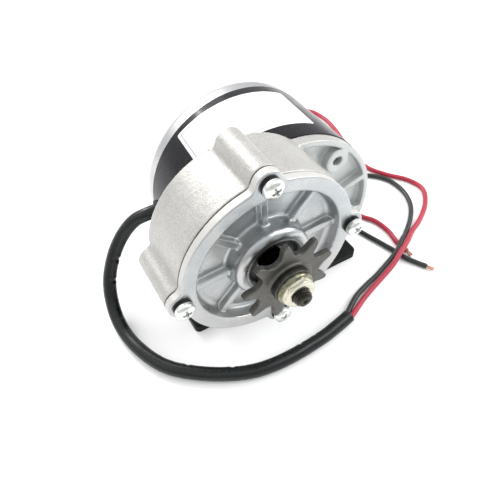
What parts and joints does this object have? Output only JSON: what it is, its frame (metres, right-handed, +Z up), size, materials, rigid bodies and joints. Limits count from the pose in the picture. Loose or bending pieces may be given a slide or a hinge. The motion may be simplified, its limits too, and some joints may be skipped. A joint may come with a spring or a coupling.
{
  "type": "geared electric motor",
  "caption": "Round electric motor with an offset spur gear housing, chain sprocket on a threaded shaft, foot plate, and sleeved red and black leads.",
  "frame": {"origin": "centre of the foot plate's hole pattern on its underside", "axes": "+Z up, -Y out of the output shaft, +X to the right seen from the sprocket"},
  "size_m": [0.2294, 0.2107, 0.126],
  "materials": {
    "cast_alloy": "sand-grained die casting, satin",
    "cover_alloy": "die casting, brighter satin",
    "gasket": "dark fibre",
    "zinc": "bright zinc plating",
    "black_oxide": "black oxide",
    "can_paint": "semi-gloss black paint",
    "cap_alloy": "satin turned alloy",
    "foot_paint": "black paint",
    "bolt_steel": "zinc plating",
    "label_sheet": "white sheet with a thin grey border line",
    "grommet_rubber": "black rubber",
    "ferrite": "sintered ferrite",
    "phenolic": "phenolic sheet",
    "brass_box": "folded brass",
    "carbon": "carbon",
    "spring_steel": "spring wire",
    "bearing_steel": "ground steel",
    "shaft_steel": "ground steel",
    "core_steel": "laminated steel",
    "insulator": "red fibre",
    "copper_wire": "enamelled copper",
    "copper_bar": "turned copper",
    "dark_steel": "dark oiled steel",
    "gear_steel": "cut steel",
    "sprocket_steel": "dull oiled steel",
    "nut_zinc": "yellowish zinc plating",
    "sleeve_pvc": "soft black sleeve",
    "red_pvc": "red insulation",
    "black_pvc": "black insulation"
  },
  "bodies": {
    "housing": {"gear_case": "cast_alloy", "case_cover": "cover_alloy", "cover_gasket": "gasket", "cover_screws": "zinc", "screw_washers": "black_oxide", "motor_can": "can_paint", "rear_cap": "cap_alloy", "foot_bracket": "foot_paint", "through_bolts": "bolt_steel", "rating_label": "label_sheet", "lead_grommet": "grommet_rubber", "magnets": "ferrite", "brush_plate": "phenolic", "brush_holders": "brass_box", "brushes": "carbon", "brush_springs": "spring_steel", "brush_screws": "zinc", "bearing_out_front": "bearing_steel", "bearing_out_rear": "bearing_steel", "bearing_arm_front": "bearing_steel", "bearing_arm_rear": "bearing_steel", "bearing_balls": "bearing_steel", "lead_sleeve": "sleeve_pvc", "lead_red": "red_pvc", "lead_black": "black_pvc", "lead_strands": "copper_wire"},
    "armature": {"armature_shaft": "shaft_steel", "core_stack": "core_steel", "core_insulators": "insulator", "windings": "copper_wire", "commutator_hub": "phenolic", "commutator_bars": "copper_bar", "arm_inner_rings": "bearing_steel"},
    "output": {"output_shaft": "dark_steel", "output_gear": "gear_steel", "gear_key": "gear_steel", "gear_ring": "black_oxide", "out_inner_rings": "bearing_steel", "chain_sprocket": "sprocket_steel", "sprocket_washer": "black_oxide", "sprocket_nut": "nut_zinc"}
  },
  "joints": [
    {"name": "armature_spin", "type": "hinge", "parent": "housing", "child": "armature", "pos_m": [0, 0, 0.057], "axis": [0, -1, 0], "continuous": true},
    {"name": "output_spin", "type": "hinge", "parent": "housing", "child": "output", "pos_m": [-0.02742, 0, 0.07702], "axis": [0, -1, 0], "continuous": true}
  ],
  "couplings": [
    {"joint": "output_spin", "follows": "armature_spin", "ratio": -0.10227}
  ]
}
